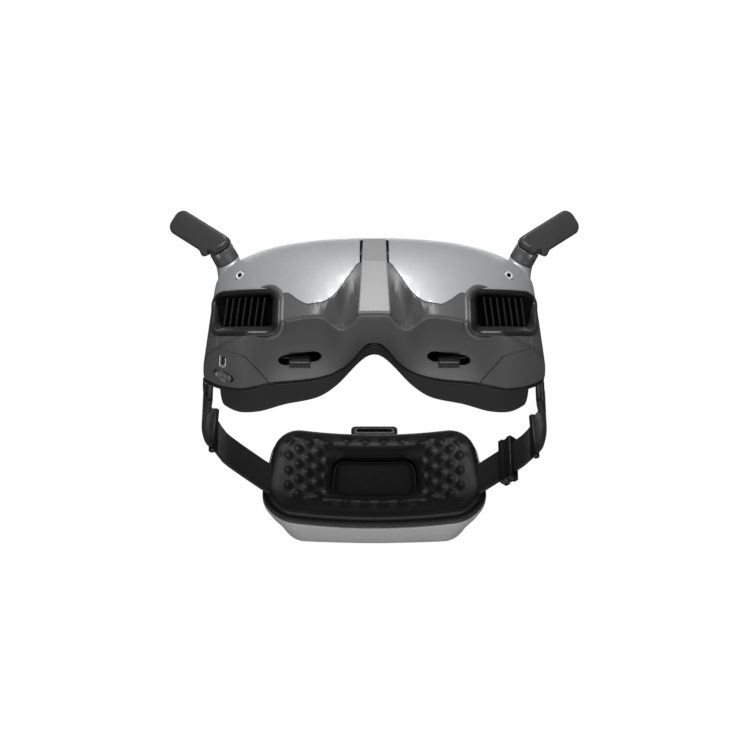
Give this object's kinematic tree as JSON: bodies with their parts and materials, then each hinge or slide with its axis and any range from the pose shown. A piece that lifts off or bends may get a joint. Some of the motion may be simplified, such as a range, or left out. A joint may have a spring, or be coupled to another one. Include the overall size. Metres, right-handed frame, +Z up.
{
  "type": "fpv goggles",
  "caption": "Head-worn video goggles with a smooth curved visor, side vents, two folding paddle antennas, a foam face seal and a headband with a rear battery pack.",
  "frame": {"origin": "on the floor under the middle of the whole object, goggles and headband together", "axes": "+X towards the wearer's left, +Y towards the back of the head, +Z up"},
  "size_m": [0.207, 0.219, 0.0977],
  "materials": {
    "hood_grey": "satin light grey with a fine metallic look",
    "shell_grey": "satin dark grey",
    "ridge_grey": "satin mid grey",
    "black_plastic": "fine matte black",
    "vent_black": "satin black",
    "foam": "soft cloth over foam",
    "webbing": "woven elastic webbing",
    "pad_rubber": "soft moulded rubber with dimples",
    "pack_grey": "satin mid grey",
    "antenna_grey": "satin dark grey",
    "steel": "brushed",
    "aluminium": "plain",
    "lens_glass": "clear",
    "display_glass": "gloss black",
    "board_green": "solder mask",
    "cell_wrap": "shrink wrap"
  },
  "bodies": {
    "housing": {"hood": "hood_grey", "lower_shell": "shell_grey", "right_corner_cover": "shell_grey", "left_corner_cover": "shell_grey", "nose_ridge": "ridge_grey", "right_vent_frame": "vent_black", "right_vent_grille": "vent_black", "left_vent_frame": "vent_black", "left_vent_grille": "vent_black", "right_hood_screw": "steel", "right_pivot_pin": "steel", "left_hood_screw": "steel", "left_pivot_pin": "steel", "usb_c_socket": "steel", "mid_frame": "black_plastic", "face_plate": "black_plastic", "fan_housing": "black_plastic", "stick_base": "black_plastic", "right_hinge_ear": "black_plastic", "left_hinge_ear": "black_plastic", "proximity_sensor": "display_glass", "main_board": "board_green", "heat_sink": "aluminium", "right_antenna_neck": "antenna_grey", "left_antenna_neck": "antenna_grey"},
    "fan": {"fan_rotor": "black_plastic"},
    "right_eye": {"right_lens_barrel": "black_plastic", "right_lens": "lens_glass", "right_display": "display_glass", "right_spacing_knob": "black_plastic"},
    "left_eye": {"left_lens_barrel": "black_plastic", "left_lens": "lens_glass", "left_display": "display_glass", "left_spacing_knob": "black_plastic"},
    "stick_outer": {"stick_yoke": "black_plastic"},
    "stick_inner": {"stick_cradle": "black_plastic"},
    "stick_cap": {"five_way_button": "black_plastic"},
    "right_antenna_arm": {"right_antenna": "antenna_grey"},
    "left_antenna_arm": {"left_antenna": "antenna_grey"},
    "cushion": {"face_pad": "foam"},
    "headband": {"right_strap_anchor": "black_plastic", "right_front_strap": "webbing", "right_strap_bar": "black_plastic", "right_rear_strap": "webbing", "left_strap_anchor": "black_plastic", "left_front_strap": "webbing", "left_strap_bar": "black_plastic", "left_rear_strap": "webbing", "rear_pad": "pad_rubber", "pad_window": "black_plastic", "pack_frame": "black_plastic", "battery_cover": "pack_grey", "battery_cell_1": "cell_wrap", "battery_cell_2": "cell_wrap", "battery_board": "board_green", "top_strap_loop": "black_plastic"},
    "buckle": {"strap_buckle": "black_plastic"},
    "power": {"power_button": "black_plastic"}
  },
  "joints": [
    {"name": "fan_spin", "type": "hinge", "parent": "housing", "child": "fan", "pos_m": [0, -0.0895, 0.03422], "axis": [0, 1, 0], "continuous": true},
    {"name": "right_eye_spacing", "type": "slide", "parent": "housing", "child": "right_eye", "axis": [1, 0, 0], "range_m": [-0.004, 0.004]},
    {"name": "left_eye_spacing", "type": "slide", "parent": "housing", "child": "left_eye", "axis": [1, 0, 0], "range_m": [-0.004, 0.004]},
    {"name": "stick_tilt_long", "type": "hinge", "parent": "housing", "child": "stick_outer", "pos_m": [-0.0732, -0.0519, 0.00432], "axis": [0.8533, 0.2181, -0.4735], "range_deg": [-7, 7]},
    {"name": "stick_tilt_wide", "type": "hinge", "parent": "stick_outer", "child": "stick_inner", "pos_m": [-0.0732, -0.0519, 0.00432], "axis": [0.263, -0.9643, 0.0299], "range_deg": [-7, 7]},
    {"name": "stick_press", "type": "slide", "parent": "stick_inner", "child": "stick_cap", "axis": [0.4501, 0.15, 0.8803], "range_m": [0, 0.0005]},
    {"name": "right_antenna_fold", "type": "hinge", "parent": "housing", "child": "right_antenna_arm", "pos_m": [-0.0766, -0.063, 0.07322], "axis": [-0.45, -0.74, 0.5], "range_deg": [0, 120]},
    {"name": "left_antenna_fold", "type": "hinge", "parent": "housing", "child": "left_antenna_arm", "pos_m": [0.0766, -0.063, 0.07322], "axis": [0.45, -0.74, 0.5], "range_deg": [-120, 0]},
    {"name": "cushion_pull", "type": "slide", "parent": "housing", "child": "cushion", "axis": [0, 1, 0], "range_m": [0, 0.03]},
    {"name": "headband_swing", "type": "hinge", "parent": "housing", "child": "headband", "pos_m": [0, -0.0315, 0.02622], "axis": [1, 0, 0], "range_deg": [-15, 25]},
    {"name": "buckle_slide", "type": "slide", "parent": "headband", "child": "buckle", "axis": [-0.7132, 0.701, 0], "range_m": [-0.003, 0.003]},
    {"name": "power_press", "type": "slide", "parent": "headband", "child": "power", "axis": [0, -1, 0], "range_m": [0, 0.0006]}
  ]
}
